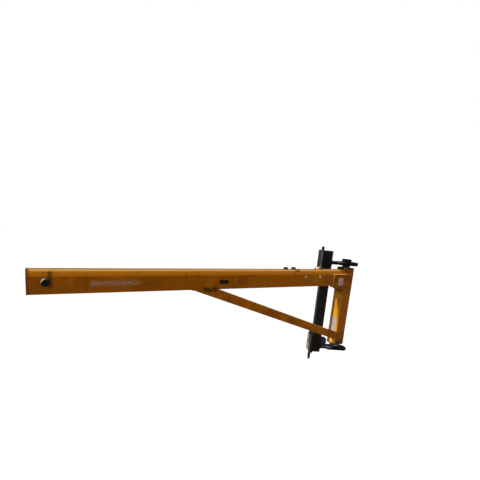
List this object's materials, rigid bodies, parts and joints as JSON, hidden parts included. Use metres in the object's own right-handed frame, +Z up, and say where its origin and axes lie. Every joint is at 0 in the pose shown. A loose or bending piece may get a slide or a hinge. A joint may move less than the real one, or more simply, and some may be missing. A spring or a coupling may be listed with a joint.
{
  "type": "wall-mounted slewing jib crane",
  "caption": "Wall-mounted jib crane: a yellow boom with a strut below, slewing on pins between the arms of a black post bracket, with an open track under the boom.",
  "frame": {"origin": "wall face of the lower packing plate, midway between the two bolt holes", "axes": "+X out from the wall towards the slewing axis, +Z up along the post, +Y along the wall"},
  "size_m": [3.2853, 1.6894, 1.52],
  "materials": {
    "jib_yellow": "worn gloss paint",
    "bracket_black": "satin paint",
    "bare_steel": "oily",
    "bearing_brass": "dull",
    "bumper_rubber": "matt"
  },
  "bodies": {
    "wall_bracket": {"post": "bracket_black", "post_top_cap": "bracket_black", "post_bottom_cap": "bracket_black", "upper_packing_plate": "bracket_black", "lower_packing_plate": "bracket_black", "upper_wall_plate": "bracket_black", "lower_wall_plate": "bracket_black", "upper_arm": "bracket_black", "lower_arm": "bracket_black", "lower_arm_gusset": "bracket_black", "upper_pin": "bare_steel", "upper_pin_cap": "bracket_black", "lower_pin": "bare_steel", "upper_collar": "bracket_black", "lower_collar": "bracket_black", "thrust_washer": "bearing_brass"},
    "jib": {"mast": "jib_yellow", "mast_top_plate": "jib_yellow", "mast_bottom_plate": "jib_yellow", "upper_bush": "bare_steel", "lower_bush": "bare_steel", "boom": "jib_yellow", "boom_tip_plate": "jib_yellow", "bumper": "bumper_rubber", "saddle_near_cheek": "jib_yellow", "saddle_far_cheek": "jib_yellow", "saddle_floor": "jib_yellow", "strut": "jib_yellow", "strut_near_cheek": "jib_yellow", "strut_far_cheek": "jib_yellow", "boom_lug": "jib_yellow", "boom_lug_ring": "bare_steel"}
  },
  "joints": [
    {"name": "slew", "type": "hinge", "parent": "wall_bracket", "child": "jib", "pos_m": [0.353, 0, 0.5], "axis": [0, 0, 1], "range_deg": [0, 295]}
  ]
}
